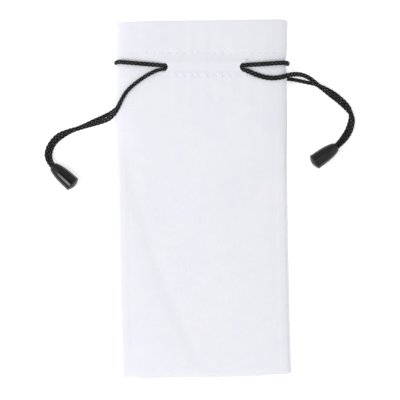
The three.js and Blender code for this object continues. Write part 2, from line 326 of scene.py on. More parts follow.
# ---------------------------------------------------------------- cords
# Each drawcord leaves its bell as two tails, enters the front and the back slit on its own
# side, runs through both channels and wraps round the far edge of the pouch.
TAIL_ROUTES = {
    "left_cord_front_tail": [
        (-19.3, 65.6, 11.15), (-22.3, 65.25, 11.5), (-26, 63.8, 11.75), (-29.6, 61.75, 11.8),
        (-32.7, 59.65, 11.7), (-35.7, 57.3, 11.4), (-38.5, 54.5, 10.9), (-40.8, 50.9, 10.2),
        (-42.7, 47.3, 9.3), (-44.7, 44.2, 7.9), (-47.2, 41.7, 6.1), (-50.9, 40.2, 4.3),
        (-55.3, 39.05, 3.3), (-59.7, 37.95, 3.15), (-65.1, 36.45, 3.15), (-69.6, 35.25, 2.95),
        (-73.8, 33.45, 2.35), (-77, 30.3, 2.2), (-79, 27.1, 1.6), (-79.75, 23.6, 1.4),
        (-79.2, 20.9, 2), (-77.45, 17.55, 2.9),
    ],
    "left_cord_back_tail": [
        (-19.3, 65.6, 1.75), (-23, 64.8, 1.3), (-28, 62.4, 1), (-32.6, 58.9, 1),
        (-36.8, 54.5, 1), (-40.8, 49.9, 1), (-46, 45.15, 1), (-50.8, 42.7, 1),
        (-55.3, 40.8, 1), (-59.7, 38.75, 1), (-65.1, 36.45, 1), (-69.6, 34.25, 1),
        (-73.5, 31.55, 1), (-75.7, 29.3, 1), (-76.95, 26.9, 1), (-77.6, 23.55, 1.2),
        (-77.05, 21.2, 2), (-75.85, 18.95, 2.9),
    ],
    "right_cord_front_tail": [
        (19.3, 65, 11.15), (22.3, 64.4, 11.5), (26.5, 62.65, 11.75), (31, 61.1, 11.7),
        (35.5, 60.5, 11.45), (40, 60.95, 10.75), (43.4, 61.8, 9.4), (46.5, 62.4, 7.3),
        (50.4, 62.2, 5), (54, 60.85, 3.6), (56.9, 58.7, 3.15), (59.1, 56.65, 3.15),
        (61.7, 54.6, 2.8), (65.6, 51.3, 1.4), (69.6, 48, 1.4), (73.2, 44.6, 2.5),
        (75.3, 41.9, 3.15), (76.1, 39, 2.8), (75.9, 36.4, 2.15), (75, 33.2, 1.4),
        (72.3, 28.9, 1.6), (68.35, 24.95, 2.9),
    ],
    "right_cord_back_tail": [
        (19.3, 65, 1.75), (23.5, 64.3, 1.3), (28.5, 62.6, 1), (34, 61.4, 1),
        (39.4, 60.75, 1), (44.4, 60.35, 1), (48.6, 59.6, 1), (52.8, 58.6, 1),
        (56.6, 57.75, 1), (59.3, 56.8, 1), (62.9, 55.1, 1), (67.4, 52.6, 1),
        (71.4, 49.15, 1), (74.2, 45.65, 1), (75.3, 42.4, 1), (75.1, 39.3, 1),
        (74.05, 36.1, 1), (72.65, 33.1, 1), (70.4, 30.1, 1.6), (67.2, 26.7, 2.9),
    ],
}
LANE_LOW, LANE_HIGH = 65.3, 67.5
LOOP_LEVEL = 11.4
CHANNEL_LEVEL = 10.8
BACK_LIFT = 0.25
# Name of the braid-height attribute that paints highlights on the cord's crowns and shade in its hollows.
CROWN_HIGHLIGHT = "crown"
MIDDLE = MOUTH_SEAM


def front_run(side, wrap_y):
    """Half of a loop, from the slit on the cord's own side to the far edge."""
    climb = wrap_y - LANE_HIGH
    level = CHANNEL_LEVEL
    run = [
        (-17, LANE_LOW, 10.95), (-15.5, LANE_LOW, level), (-12, LANE_LOW, level),
        (-8, LANE_LOW, level), (-4, LANE_LOW + 0.4, level),
        (0, (LANE_LOW + LANE_HIGH) / 2, level), (4, LANE_HIGH - 0.4, level),
        (8, LANE_HIGH, level), (12, LANE_HIGH, level), (15.5, LANE_HIGH, level),
        (20.5, LANE_HIGH, 11.3), (25.5, LANE_HIGH + 0.18 * climb, LOOP_LEVEL),
        (30.5, LANE_HIGH + 0.42 * climb, 11.3), (35, LANE_HIGH + 0.66 * climb, 11.05),
        (38.5, LANE_HIGH + 0.85 * climb, 10.65), (41.5, wrap_y, 9.8),
        (43.2, wrap_y - 0.1, 8.4), (43.7, wrap_y - 0.25, MIDDLE),
    ]
    return [(side * x, y - CHANNEL_TILT * side * x, z) for x, y, z in run]


def loop_route(side, wrap_y):
    front = front_run(side, wrap_y)
    return front + [(x, y, 2 * MIDDLE - z + BACK_LIFT * (abs(x) < 41)) for x, y, z in front[-2::-1]]


def curve_through(points, step):
    """A centripetal Catmull-Rom curve through the points, sampled evenly, step mm apart."""
    p = np.array(points, float)
    p = np.vstack([2 * p[0] - p[1], p, 2 * p[-1] - p[-2]])
    fine = []
    for a, b, c, d in zip(p, p[1:], p[2:], p[3:]):
        t = np.cumsum([0] + [math.sqrt(np.linalg.norm(v)) for v in (b - a, c - b, d - c)])
        s = np.linspace(t[1], t[2], 24, endpoint=False)[:, None]
        ab = mix(a, b, (s - t[0]) / (t[1] - t[0]))
        bc = mix(b, c, (s - t[1]) / (t[2] - t[1]))
        cd = mix(c, d, (s - t[2]) / (t[3] - t[2]))
        left = mix(ab, bc, (s - t[0]) / (t[2] - t[0]))
        right = mix(bc, cd, (s - t[1]) / (t[3] - t[1]))
        fine.append(mix(left, right, (s - t[1]) / (t[2] - t[1])))
    fine = np.vstack(fine + [p[-2][None]])
    return resample(fine, step)


def run_along(line):
    """Distance along the line at each of its points."""
    return np.concatenate([[0], np.cumsum(np.linalg.norm(np.diff(line, axis=0), axis=1))])


def resample(line, step):
    run = run_along(line)
    at = np.linspace(0, run[-1], max(2, round(run[-1] / step) + 1))
    return np.stack([np.interp(at, run, line[:, k]) for k in range(3)], 1)


def ring_frames(path):
    """Two directions across the path at every point, carried along it without twisting."""
    along = unit(np.gradient(path, axis=0))
    side = np.cross(along[0], (0, 0, 1.0))
    sides = []
    for direction in along:
        side = unit(side - direction * (side @ direction))
        sides.append(side)
    sides = np.array(sides)
    return sides, np.cross(along, sides)


def tube(path, across, up):
    """A closed tube round a path, from how far its points lie across it and up from it."""
    sides, ups = ring_frames(path)
    rings = path[:, None, :] + sides[:, None, :] * across[..., None] + ups[:, None, :] * up[..., None]
    around = rings.shape[1]
    first = tuple(range(around))
    last = tuple(range((len(path) - 1) * around, len(path) * around))[::-1]
    return rings.reshape(-1, 3), [*grid_faces(len(path), around, wrap=True), first, last]


def braid_relief(angle, distance):
    """Height, from 0 to 1, of a braid: yarns slanted one way and the other, over and under."""
    pairs = 4
    turn = 2 * math.pi / 2.1
    one = 0.5 + 0.5 * np.cos(pairs * angle + turn * distance)
    other = 0.5 + 0.5 * np.cos(pairs * angle - turn * distance)
    over = 0.5 + 0.5 * np.tanh(2.2 * np.sin(pairs * angle) * np.sin(turn * distance))
    return over * one ** 0.8 + (1 - over) * other ** 0.8


def height_share(wide):
    """A cord's height over its round height, when it lies this much wider than round."""
    return np.maximum(1.85 - 0.85 * wide, 0.55)


def cord_mesh(name, path, material, wide):
    """A braided tube; wide gives its width over its round width, as it flattens or is squeezed."""
    around, relief = 36, 0.13
    angle = np.linspace(0, 2 * math.pi, around, endpoint=False)
    height = braid_relief(angle[None, :], run_along(path)[:, None])
    radius = CORD / 2 - 0.055 + relief * (height - 0.5)
    wide = np.broadcast_to(np.asarray(wide, float), (len(path),))[:, None]
    verts, faces = tube(path, np.cos(angle) * radius * wide, np.sin(angle) * radius * height_share(wide))
    obj = new_object(name, verts, faces, material)
    # The braid's height is kept for the cord's colour, where it paints highlights on the crowns and shade in
    # the hollows.
    crown = obj.data.attributes.new(CROWN_HIGHLIGHT, "FLOAT", "POINT")
    crown.data.foreach_set("value", height.astype(np.float32).ravel())
    return obj


def eased(values, reach=13):
    """The values along a path, each averaged with its neighbours."""
    window = np.hanning(2 * reach + 1)
    window = window / window.sum()
    values = np.asarray(values, float)
    flat = values.reshape(len(values), -1)
    padded = np.pad(flat, ((reach, reach), (0, 0)), mode="edge")
    out = np.stack([np.convolve(column, window, mode="valid") for column in padded.T], 1)
    return out.reshape(values.shape)


def drawn_together(path, other):
    """Strands that run side by side are let lie against each other."""
    gaps = other[None] - path[:, None]
    near = np.argmin(np.linalg.norm(gaps, axis=2), 1)
    gap = gaps[np.arange(len(path)), near]
    apart = np.linalg.norm(gap, axis=1)
    pull = np.clip(apart - TOUCHING, 0, 0.6) / 2 * (1 - smooth(2.5, 3.3, apart))
    level = 1 - smooth(0.8, 1.6, np.abs(gap[:, 2]))
    return path + eased(unit(gap) * (pull * level)[:, None])


def from_ends(path):
    """Distance along the path from its start, and from its end."""
    run = run_along(path)
    return run, run[-1] - run


def into_neck(path, place):
    """The last millimetres close in on the axis of the bell's neck."""
    _, left = from_ends(path)
    (neck_x, neck_y), (aim_x, aim_y) = place
    along = unit(np.array([aim_x - neck_x, aim_y - neck_y]))
    across = np.array([-along[1], along[0]])
    off = (path[:, :2] - (neck_x, neck_y)) @ across
    close = 0.2 * (1 - smooth(0, 5.5, left))
    out = path.copy()
    out[:, :2] -= across * (off * close)[:, None]
    return out


# How much wider than round each tail lies, along its length from the slit.
FLATTENED = {
    "left_cord_front_tail": lambda start: 0.22 * smooth(28, 36, start),
    "left_cord_back_tail": lambda start: 0.06 + 0 * start,
    "right_cord_front_tail": lambda start: 0.27 + 0 * start,
    "right_cord_back_tail": lambda start: 0.1 * smooth(40, 50, start),
}


def add_tails(material, cloth_at):
    """The free tails of both cords; where one lies on the pouch it is let down onto the cloth."""
    paths = {}
    for name, route in TAIL_ROUTES.items():
        x, y, z = route[0]
        paths[name] = curve_through([(x - math.copysign(2.4, x), y, z - 0.25), *route], 0.2)
    tails = {}
    for name, path in paths.items():
        side, face = name.split("_")[0], name.split("_")[2]
        other = paths[f"{side}_cord_{'back' if face == 'front' else 'front'}_tail"]
        path = drawn_together(path, other)
        path = into_neck(path, BELL_PLACES[side])
        path = towards_slit(path)
        start, left = from_ends(path)
        flat = FLATTENED[name](start)
        at_slit, at_neck = 1 - smooth(3, 7, start), 1 - smooth(1, 8, left)
        wide = 1.08 + flat - (0.14 + flat) * at_slit - (0.12 + flat) * at_neck
        if face == "front":
            path = let_down(path, cloth_at, CORD / 2 * height_share(wide))
        tail = cord_mesh(name + "_braid", path, material, wide)
        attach(tail, f"{side}_drawcord")
        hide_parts(name)
        tails[name] = (tail, path)
    return tails


def towards_slit(path):
    """Both strands at a slit close in on its middle as they go in."""
    near = 1 - smooth(17.2, 23.5, np.abs(path[:, 0]))
    inside = smooth(12.5, 16.5, np.abs(path[:, 0]))
    out = path.copy()
    away = np.clip(askew(path[:, 0], SLIT_MIDDLE) - path[:, 1], -1.1, 1.1) / 1.1
    out[:, 1] += SLIT_CLOSING * away * near * inside
    return out


def let_down(path, cloth_at, half_height):
    """Lowers the path to rest on the cloth, and eases the change along it."""
    rest = cloth_at(path[:, 0], path[:, 1]) + half_height - 0.06
    lower = np.where(np.isfinite(rest), np.minimum(rest - path[:, 2], 0.3), 0)
    out = path.copy()
    out[:, 2] += eased(lower)
    return out


def add_loops(material):
    for side, name, wrap_y in ((1, "left", 68.8), (-1, "right", 69.2)):
        path = curve_through(loop_route(side, wrap_y), 0.22)
        outward = np.where(path[:, 2] > MIDDLE, 1, -1)
        crossing = 1 - smooth(6, 12, np.abs(path[:, 0]))
        path[:, 2] += outward * side * 0.3 * crossing
        path = towards_slit(path)
        x = np.abs(path[:, 0])
        over_cloth = smooth(19, 25, x)
        squeezed = smooth(14, 17, x) * (1 - smooth(17.5, 22, x))
        wide = 1.04 + (0.24 if side > 0 else 0.18) * over_cloth - 0.08 * squeezed + 0.24 * crossing
        loop = cord_mesh(f"{name}_cord_loop_braid", path, material, wide)
        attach(loop, f"{name}_drawcord")
        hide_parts(f"{name}_cord_loop")


# ---------------------------------------------------------------- cord ends
BELL_LENGTH = 13.8
NECK_RADIUS = 2.25
BASE_RADIUS = 4.08
BELL_TILT = math.radians(6.4)
NECK_HEIGHT = 3.08
BELL_PLACES = {"left": ((-76.4, 18), (-66.4, 8.6)), "right": ((67.5, 25.6), (55.8, 17.5))}


def bell_radius(y):
    along = np.asarray(y, float) / BELL_LENGTH
    full = 0.8 * (1 - (1 - along) ** 4) + 0.2 * along
    return NECK_RADIUS + (BASE_RADIUS - NECK_RADIUS) * full


def shell_profile():
    body = [(bell_radius(y), y) for y in np.linspace(0.75, BELL_LENGTH - 0.3, 30)]
    end = BELL_LENGTH
    rim = [(BASE_RADIUS, end - 0.12), (BASE_RADIUS - 0.02, end - 0.04), (BASE_RADIUS - 0.07, end),
           (BASE_RADIUS - 0.2, end + 0.01), (BASE_RADIUS - 0.25, end - 0.06)]
    inside = [(bell_radius(y) - 0.8, y) for y in np.linspace(end - 0.7, 2.2, 14)]
    neck = [(1.42, 1.8), (1.36, 1.2), (1.38, 0.5), (1.5, 0.12), (1.7, 0.0),
            (1.98, 0.02), (2.2, 0.12), (2.35, 0.3)]
    return [*body, *rim, *inside, *neck]


def plug_profile():
    y = BELL_LENGTH
    dome = [(3.8 * r, y + 0.12 + 1.23 * (1 - r * r)) for r in np.linspace(1, 0, 14)]
    return [(0, y - 2.2), (2.6, y - 2.2), (2.75, y - 2.0), (2.8, y - 0.3), (3.3, y - 0.12),
            (3.7, y - 0.04), (3.78, y + 0.03), *dome[:-1], (0, y + 1.35)]


def knot_profile():
    ball = [(2.1 * math.cos(a), 6.4 + 2.1 * math.sin(a)) for a in np.linspace(-1.05, 1.57, 18)]
    return [(0, 0.1), (0.9, 0.1), (1.02, 0.3), (1.05, 4.3), *ball[:-1], (0, 8.5)]


def turned(name, profile, place, material, around=72, lobes=None):
    """A turned piece: its profile goes round the bell's axis, from the neck towards the base."""
    (neck_x, neck_y), (aim_x, aim_y) = place
    axis = Vector((aim_x - neck_x, aim_y - neck_y, 0)).normalized()
    axis = Vector((axis.x * math.cos(BELL_TILT), axis.y * math.cos(BELL_TILT), math.sin(BELL_TILT)))
    turn = Vector((0, 1, 0)).rotation_difference(axis)
    angle = np.linspace(0, 2 * math.pi, around, endpoint=False)
    closed = profile[0][0] > 0
    verts, rings = [], []
    for radius, y in profile:
        if radius <= 1e-6:
            rings.append([len(verts)])
            verts.append((0, y, 0))
            continue
        rings.append(list(range(len(verts), len(verts) + around)))
        r = radius * (1 + (lobes(angle, y) if lobes else 0 * angle))
        verts.extend(zip(np.cos(angle) * r, np.full(around, y), np.sin(angle) * r))
    verts = [turn @ Vector(v) + Vector((neck_x, neck_y, NECK_HEIGHT)) for v in verts]
    pairs = list(zip(rings, rings[1:])) + ([(rings[-1], rings[0])] if closed else [])
    faces = []
    for low, high in pairs:
        for i in range(around):
            k = (i + 1) % around
            corners = [low[i % len(low)], high[i % len(high)], high[k % len(high)], low[k % len(low)]]
            faces.append(tuple(dict.fromkeys(corners)))
    return new_object(name, verts, faces, material)


def add_cord_ends(shell, plug, cord):
    ends = {}
    for side, place in BELL_PLACES.items():
        pieces = {
            f"{side}_bell_shell": turned(f"{side}_bell", shell_profile(), place, shell),
            f"{side}_bell_plug": turned(f"{side}_bell_insert", plug_profile(), place, plug),
            f"{side}_cord_knot": turned(
                f"{side}_knot", knot_profile(), place, cord, 40,
                lambda angle, y: 0.05 * np.cos(3 * angle + 1.6 * y)),
        }
        for node, piece in pieces.items():
            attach(piece, f"{side}_cord_end")
            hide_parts(node)
        ends[side] = list(pieces.values())
    return ends


# ---------------------------------------------------------------- the pouch's form
def askew(x, y):
    """The channel is sewn a little askew of the mouth: lower on the right than on the left."""
    return y - CHANNEL_TILT * x * (smooth(59.5, 61.9, y) - smooth(75, 84, y))


def half_width(y):
    nip = NIP * np.exp(-(((y - NIP_AT) / NIP_SPREAD) ** 2))
    return HALF_WIDTH - 0.15 - nip + 0.3 * np.exp(-(((y - 42) / 14) ** 2))


def bow(y):
    """The pouch lies slightly bent: its middle is a little left of its ends."""
    return -0.98 * (1 - np.minimum(np.abs(y + 12) / 92, 1.2) ** 3.2)


def ramp(y):
    return smooth(*RAMP, y)


def end_fullness(y):
    return np.sqrt(np.clip(1 - np.clip(y / BOTTOM, 0, 1) ** 8, 0, 1))


def seam_height(y):
    flat = CLOTH / 2 + 0.25
    return flat + (mix(BELLY_SEAM, MOUTH_SEAM, ramp(y)) - flat) * end_fullness(y)


def side_fullness(u):
    return np.sqrt(np.clip(1 - np.abs(u) ** SIDE_ROUNDNESS, 0, 1))


def front_fullness(u, y):
    """The body's sides stand up sharply at the seam and are nearly level above it; the mouth's are round."""
    inset = np.clip((1 - np.abs(u)) * HALF_WIDTH / WALL, 0, 1)
    wall = np.sqrt(1 - (1 - inset) ** 2)
    crown = np.sqrt(np.clip(1 - np.abs(u) ** 2.5, 0, 1))
    return mix(WALL_SHARE * wall + (1 - WALL_SHARE) * crown, side_fullness(u), ramp(y))


def rest_fullness(u):
    past = np.clip(np.abs(u) - REST_HALF, 0, 1) / (1 - REST_HALF)
    return np.sqrt(np.clip(1 - past ** 3, 0, 1))


def slit_place(u):
    """Distance from the middle, in millimetres, of the slit on a point's own side."""
    return np.where(np.asarray(u) < 0, SLIT_COLUMNS[-1], SLIT_COLUMNS[1]) * COLUMN


def arch(u, y, outside, rise):
    """The cloth between the slits stands up over the cords; beyond a slit it lies under them.

    Above and below a slit's ends it stays whole, and settles down over a few millimetres."""
    profile = smooth(62.7, 65.4, y) * (1 - smooth(68, 73.2, y))
    lip = np.maximum(1 - smooth(SLIT[0], SLIT[0] + 1.1, y), smooth(SLIT[1] - 1.1, SLIT[1], y))
    past = np.abs(u) * HALF_WIDTH - slit_place(u)
    return rise * profile * np.where(outside, lip * (1 - smooth(0, 5, past)), 1)


def slit_round(u, y):
    """The cut edges give way to the cords, so that each slit opens as a small round mouth."""
    x = np.abs(u) * HALF_WIDTH
    off = np.abs(y - SLIT_MIDDLE)
    near = np.exp(-(((x - slit_place(u)) / 2.2) ** 2)) * (1 - smooth(4, 7, off))
    return np.sign(u) * near * (0.3 * np.minimum(off, 2.9) ** 2 - 0.3)


def gathers(u, y):
    """Soft folds where the hem has been drawn up before: fine at the channel, lost below it."""
    x = u * HALF_WIDTH
    waves = np.sin(x * 0.83 + 0.9 * np.sin(x * 0.11)) + 0.6 * np.sin(x * 0.51 + 1.7)
    strength = smooth(34, 60, y) * (1 - 0.35 * smooth(76, 90, y))
    return 0.05 * waves * strength * (1 - smooth(0.9, 1, np.abs(u)))


def uneven(n):
    """A fixed value from 0 to 1 for each stitch, with no pattern to be seen."""
    wild = np.sin(np.asarray(n, float) * 12.9898 + 4.1) * 43758.5453
    return wild - np.floor(wild)


def stitch_groove(u, y):
    """Each stitch row pulls the cloth down, most of all at its needle holes."""
    x = u * HALF_WIDTH
    hole = (0.5 + 0.5 * np.cos(2 * math.pi * x / STITCH_PITCH)) ** 4
    number = np.round(x / STITCH_PITCH)
    between = 1 - smooth(16, 19, np.abs(x))
    upper = 0.1 + 0.32 * uneven(number)
    lower = mix(0.08 + 0.12 * uneven(number + 40), 0.5, between)
    depth = 0
    for row, pull in ((UPPER_ROW, upper), (LOWER_ROW, lower)):
        depth = depth + (0.06 + pull * hole) * np.exp(-(((y - row) / 0.6) ** 2))
    return depth * (1 - smooth(0.955, 0.985, np.abs(u)))


def long_fold(x, y):
    """One soft fold runs from the left edge down to the bottom: a low step, dipped at its foot."""
    t = np.clip(31 - y, 0, 130)
    valley = -41 + 0.18 * t + 0.0012 * t * t
    beside = (x - valley) * 0.94
    strength = smooth(36, 6, y) * smooth(-91, -82, y)
    step = -0.3 * (1 + np.tanh(beside / 4.0)) * (1 - smooth(9, 40, beside))
    dip = -0.32 * np.exp(-(((beside - 1.5) / 3.8) ** 2))
    return (dip + step) * strength


def undulation(x, y, phase):
    a = np.sin(x * 0.071 + y * 0.043 + phase) * np.sin(y * 0.058 - x * 0.023 + 1.3 * phase)
    b = np.sin(x * 0.13 - y * 0.031 + 2.1 * phase) * np.sin(y * 0.097 + 0.7 + phase)
    return 0.14 * a + 0.06 * b


def seam_swell(u, y):
    """The turned-in seam allowance shows as a low band along the sides and the bottom."""
    inset = (1 - np.abs(u)) * HALF_WIDTH
    side = smooth(0.6, 2.2, inset) * (1 - smooth(4.2, 6.2, inset))
    base = smooth(0.8, 2.4, y - BOTTOM) * (1 - smooth(4.6, 6.4, y - BOTTOM))
    return 0.16 * np.maximum(side * (1 - 0.5 * ramp(y)), base)


def front_surface(u, y, outside):
    hw = half_width(y)
    x = u * hw
    edge = seam_height(y) + 0.05
    full_edge = mix(BELLY_SEAM, MOUTH_SEAM, ramp(y)) + 0.05
    rise = (mix(BELLY_CROWN, MOUTH_CROWN, ramp(y)) - full_edge) * end_fullness(y)
    full = side_fullness(u)
    z = edge + rise * front_fullness(u, y)
    detail = long_fold(x, y) + undulation(x, y, 0.4) * (1 - 0.6 * ramp(y)) + gathers(u, y)
    z = z + detail * full * end_fullness(y) + seam_swell(u, y) - stitch_groove(u, y)
    return x + slit_round(u, y), z + arch(u, y, outside, ARCH)


def back_surface(u, y, outside):
    hw = half_width(y)
    x = u * hw
    edge = seam_height(y) - 0.05
    low = mix(CLOTH / 2 + 0.03, MOUTH_LIFT, ramp(y))
    z = edge - (edge - low) * rest_fullness(u)
    z = z + stitch_groove(u, y) - gathers(u + 0.07, y) * ramp(y) * 0.7
    return x + slit_round(u, y), z - arch(u, y, outside, BACK_ARCH)


# ---------------------------------------------------------------- cloth sheets
def half_columns():
    """Column places from the middle to the edge, even and then closer as the side rolls over."""
    even = [COLUMN * i / HALF_WIDTH for i in range(61)]
    left = np.linspace(even[-1], 1, 400)[1:]
    z = side_fullness(left) * 6
    run = np.concatenate([[0], np.cumsum(np.hypot(np.diff(left) * HALF_WIDTH, np.diff(z)))])
    edge = np.interp(np.linspace(0, run[-1], 15)[1:], run, left)
    return np.array(even + list(edge))


def panel_rows():
    y = np.linspace(BOTTOM, -72, 600)
    z = end_fullness(y) * 6
    run = np.concatenate([[0], np.cumsum(np.hypot(np.diff(y), np.diff(z)))])
    rows = list(np.interp(np.arange(0, run[-1], 0.75), run, y))
    rows += spaced(-72, 57.6, 1.0)
    for row in (LOWER_ROW, UPPER_ROW):
        rows += [row + d for d in (-1.6, -1.1, -0.7, -0.35, 0, 0.35, 0.7, 1.1, 1.6)]
    rows += spaced(57.6, LOWER_ROW - 1.8, 0.8)
    rows += spaced(LOWER_ROW + 2.0, UPPER_ROW - 1.8, 0.45)
    rows += spaced(UPPER_ROW + 2.0, MOUTH - 0.5, 0.8)
    rows += [SLIT[0], SLIT[1], MOUTH - 0.5]
    rows = sorted(rows)
    keep = [rows[0]]
    for row in rows[1:]:
        if row - keep[-1] > 0.16 or row in SLIT:
            keep.append(row)
    return np.array(keep)


def hem_calm(y):
    """The doubled, sewn hem lies flatter than the single cloth below it."""
    return 1 - 0.8 * smooth(54, 62, y)


class Sheet:
    """One panel with its folded-in hem: a grid of points across and up the cloth."""

    def __init__(self, name, surface, outward, slack, rise):
        self.name, self.surface, self.outward, self.rise = name, surface, outward, rise
        half = half_columns()
        self.u = np.concatenate([-half[:0:-1], half])
        self.middle = len(half) - 1
        self.rows = panel_rows()
        self.slack = slack
        self.build()

    def layer(self, outside):
        u, y = np.meshgrid(self.u, self.rows)
        x, z = self.surface(u, y, outside)
        lift = self.slack(u, y) * side_fullness(u) * end_fullness(y) * hem_calm(y)
        z = np.maximum(z + self.outward * lift, CLOTH / 2 + 0.02)
        return np.stack([x, askew(x, y), z], -1)

    def turned_edges(self, points):
        """The sides turn in at the seams, where the two panels meet."""
        stack = [points]
        for depth, nearer in SEAM_TURNS:
            turned_in = []
            for edge, inward in ((0, depth), (-1, -depth)):
                side = points[:, edge].copy()
                side[:, 0] += inward
                side[:, 2] -= self.outward * nearer
                turned_in.append(side[:, None])
            stack = [turned_in[0], *stack, turned_in[1]]
        return np.concatenate(stack, 1)

    def hem(self, points):
        """Rows over the fold at the mouth and down the inside of the hem."""
        top = points[-1]
        gap = CLOTH + HEM_GAP
        rows, us = [], []
        for angle in np.linspace(0.35, math.pi, 8):
            row = top.copy()
            row[:, 1] += math.sin(angle) * gap / 2 * 1.6
            row[:, 2] -= self.outward * (1 - math.cos(angle)) * gap / 2
            rows.append(row)
        for y in spaced(MOUTH - 1.6, FACING_END, -1.1):
            v = np.interp(y, self.rows, np.arange(len(self.rows)))
            low = int(min(v, len(self.rows) - 2))
            row = mix(self.flat[low], self.flat[low + 1], v - low).copy()
            row[:, 2] -= self.outward * gap
            rows.append(row)
        return np.array(rows)

    def build(self):
        self.slits = [self.middle + side * column for side, column in SLIT_COLUMNS.items()]
        inner, outer = self.layer(False), self.layer(True)
        beyond = np.abs(self.u) * HALF_WIDTH > slit_place(self.u) + 0.5 * COLUMN
        points = np.where(beyond[None, :, None], outer, inner)
        bare = points.copy()
        u, y = np.meshgrid(self.u, self.rows)
        bare[..., 2] -= self.outward * arch(u, y, beyond[None, :], self.rise)
        self.flat = self.turned_edges(bare)
        lips = outer[:, self.slits]
        flat_lips = lips[..., 2] - self.outward * arch(u, y, True, self.rise)[:, self.slits]
        points = self.turned_edges(points)
        hem = self.hem(points)
        self.grid = np.concatenate([points, hem], 0)
        self.grid[..., 0] += bow(self.grid[..., 1])
        lips[..., 0] += bow(lips[..., 1])
        self.corners()
        self.connect(lips, np.concatenate([self.flat, hem], 0)[..., 2], flat_lips)

    def corners(self):
        """Rounds the corners a little and lets the bottom edge belly out between them."""
        x, y = self.grid[..., 0] - bow(self.grid[..., 1]), self.grid[..., 1]
        left, right = HALF_WIDTH + x, HALF_WIDTH - x
        near = 1 - smooth(BOTTOM, BOTTOM + 16, y)
        raised = 0.8 * (1 - smooth(0, 12, left)) + 0.8 * (1 - smooth(0, 2, left))
        raised += 0.9 * (1 - smooth(0, 24, right)) + 0.6 * (1 - smooth(0, 3, right))
        top = smooth(MOUTH - 4, MOUTH, y)
        lowered = 0.8 * (1 - smooth(0, 1.8, right)) + 0.4 * (1 - smooth(0, 1.2, left))
        self.grid[..., 1] += (raised - FULL_LENGTH) * near - lowered * top

    def connect(self, lips, flat_heights, flat_lip_heights):
        rows, columns = self.grid.shape[:2]
        number = np.arange(rows * columns).reshape(rows, columns)
        self.verts = self.grid.reshape(-1, 3)
        open_rows = [j for j, y in enumerate(self.rows) if SLIT[0] < y < SLIT[1]]
        extra, added, heights = {}, [], list(flat_heights.ravel())
        for k, column in enumerate(self.slits):
            for j in open_rows:
                extra[j, column + TURNED] = len(self.verts) + len(extra)
                added.append(lips[j, k])
                heights.append(flat_lip_heights[j, k])
        self.verts = np.vstack([self.verts, np.array(added)])
        quads, halves = [], []
        for j in range(rows - 1):
            for i in range(columns - 1):
                corners = [(j, i), (j, i + 1), (j + 1, i + 1), (j + 1, i)]
                outer_cell = i >= self.slits[1] + TURNED or i < self.slits[0] + TURNED
                quad = [extra.get(c, number[c]) if outer_cell else number[c] for c in corners]
                quads.append(quad if self.outward > 0 else quad[::-1])
                halves.append(i >= self.middle + TURNED)
        self.quads, self.right_half = np.array(quads), np.array(halves)
        column_of = np.concatenate([np.tile(np.arange(columns), rows), [column for _, column in extra]])
        self.vert_u = np.pad(self.u, TURNED, mode="edge")[column_of]
        level = np.column_stack([self.verts[:, :2], heights])
        bent, calm = (unit(vertex_normals(v, self.quads)) for v in (self.verts, level))
        self.normals = unit(mix(bent, calm, CHANNEL_CALM))


def vertex_normals(verts, quads):
    a, b, c, d = (verts[quads[:, k]] for k in range(4))
    normal = np.cross(c - a, d - b)
    total = np.zeros_like(verts)
    for k in range(4):
        np.add.at(total, quads[:, k], normal)
    return total


def cloth_half(sheet, right, material):
    """Half of a sheet, given its thickness, with the whole sheet's shading across the middle."""
    quads = sheet.quads[sheet.right_half == right]
    used = np.unique(quads)
    number = {v: k for k, v in enumerate(used)}
    local = np.vectorize(number.get)(quads)
    verts, normals = sheet.verts[used], sheet.normals[used]
    count = len(used)
    both = np.vstack([verts + normals * CLOTH / 2, verts - normals * CLOTH / 2])
    edges = dict.fromkeys((a, b) for quad in local for a, b in zip(quad, np.roll(quad, -1)))
    border = [(a, b) for a, b in edges if (b, a) not in edges]
    faces = [tuple(int(v) for v in q) for q in local]
    faces += [tuple(int(v) + count for v in q[::-1]) for q in local]
    faces += [(int(b), int(a), int(a) + count, int(b) + count) for a, b in border]
    side = "right" if right else "left"
    obj = new_object(f"{sheet.name}_{side}_half", both, faces, material)
    shade(obj, normals, len(local))
    return obj, sheet.vert_u[used]


def shade(obj, normals, layer_faces):
    """Both faces of the cloth take the sheet's normals; the faces round its border stay flat."""
    mesh = obj.data
    both = np.vstack([normals, -normals])
    loops = np.zeros(len(mesh.loops), int)
    mesh.loops.foreach_get("vertex_index", loops)
    custom = both[loops]
    for polygon in list(mesh.polygons)[2 * layer_faces:]:
        for k in polygon.loop_indices:
            custom[k] = polygon.normal
    mesh.normals_split_custom_set([tuple(n) for n in custom])


def follow_cord(obj):
    """Bakes the piece's placing into its mesh and reads its points; nothing moves them."""
    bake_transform(obj)
    co = np.zeros(len(obj.data.vertices) * 3, np.float32)
    obj.data.vertices.foreach_get("co", co)


